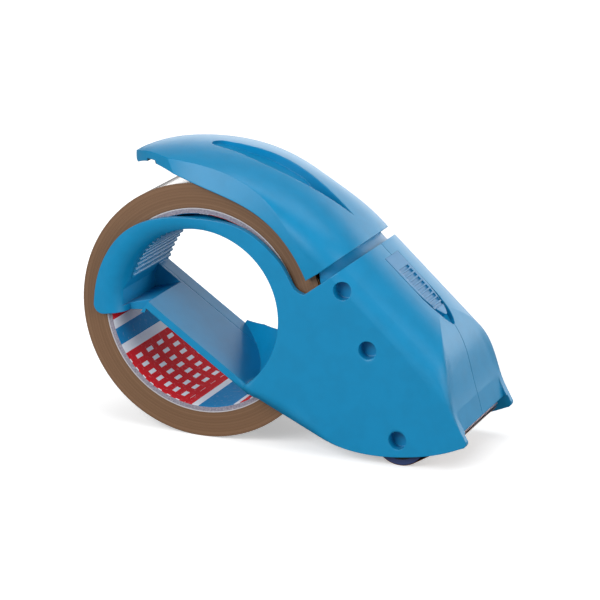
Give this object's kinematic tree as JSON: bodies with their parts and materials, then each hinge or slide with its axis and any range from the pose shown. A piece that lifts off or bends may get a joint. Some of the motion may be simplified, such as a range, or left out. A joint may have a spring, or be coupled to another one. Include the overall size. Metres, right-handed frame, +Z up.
{
  "type": "handheld carton tape dispenser",
  "caption": "Hand-held packing tape dispenser with a finger loop through the roll, a palm brake arm, a roller, and a serrated blade pushed out by a thumb slide.",
  "frame": {"origin": "centre of the bounding box's bottom face, on the surface the roll stands on", "axes": "+X towards the nose and blade, +Y towards the open side where the roll goes on, +Z up"},
  "size_m": [0.1576, 0.0572, 0.1095],
  "materials": {
    "shell_blue": "fine matte texture",
    "arm_blue": "fine matte texture",
    "slide_blue": "satin",
    "inner_plastic": "black",
    "steel": "drawn tube",
    "spring_steel": "wire",
    "blade_steel": "ground edge",
    "pad_rubber": "ribbed",
    "sleeve_rubber": "navy",
    "tape_brown": "wound film",
    "film_brown": "thin film",
    "core_card": "rough paper edge",
    "core_print": "printed stripes"
  },
  "bodies": {
    "housing": {"right_shell": "shell_blue", "left_shell": "shell_blue", "shell_screws": "spring_steel", "pivot_tube": "steel", "roller_tube": "steel", "arm_spring": "spring_steel", "slide_spring": "spring_steel", "tape_leader": "film_brown"},
    "brake": {"brake_arm": "arm_blue", "brake_pad": "pad_rubber"},
    "roll": {"tape_roll": "tape_brown", "tape_core": "core_card", "core_lining": "core_print"},
    "roller": {"roller_core": "inner_plastic", "roller_sleeve": "sleeve_rubber"},
    "slide": {"thumb_slide": "slide_blue", "slide_yoke": "inner_plastic"},
    "cutter": {"blade_carrier": "inner_plastic", "blade": "blade_steel", "blade_rivets": "spring_steel", "link_pin": "spring_steel"}
  },
  "joints": [
    {"name": "brake_press", "type": "hinge", "parent": "housing", "child": "brake", "pos_m": [0.0282, 0, 0.0655], "axis": [0, -1, 0], "range_deg": [0, 1.8], "stiffness_Nm_per_rad": 3, "springref_deg": -5.73},
    {"name": "roll_spin", "type": "hinge", "parent": "housing", "child": "roll", "pos_m": [-0.0293, 0, 0.0496], "axis": [0, 1, 0], "continuous": true},
    {"name": "roller_spin", "type": "hinge", "parent": "housing", "child": "roller", "pos_m": [0.0519, 0, 0.0108], "axis": [0, 1, 0], "continuous": true},
    {"name": "thumb_push", "type": "slide", "parent": "housing", "child": "slide", "axis": [0.7486, 0, -0.6631], "range_m": [0, 0.004], "stiffness_N_per_m": 300, "springref_m": -0.004, "deforming": ["slide_spring"]},
    {"name": "blade_out", "type": "slide", "parent": "housing", "child": "cutter", "axis": [0.2844, 0, -0.9587], "range_m": [0, 0.004]}
  ],
  "couplings": [
    {"joint": "roller_spin", "follows": "roll_spin", "ratio": -4.7},
    {"joint": "blade_out", "follows": "thumb_push", "ratio": 1}
  ]
}
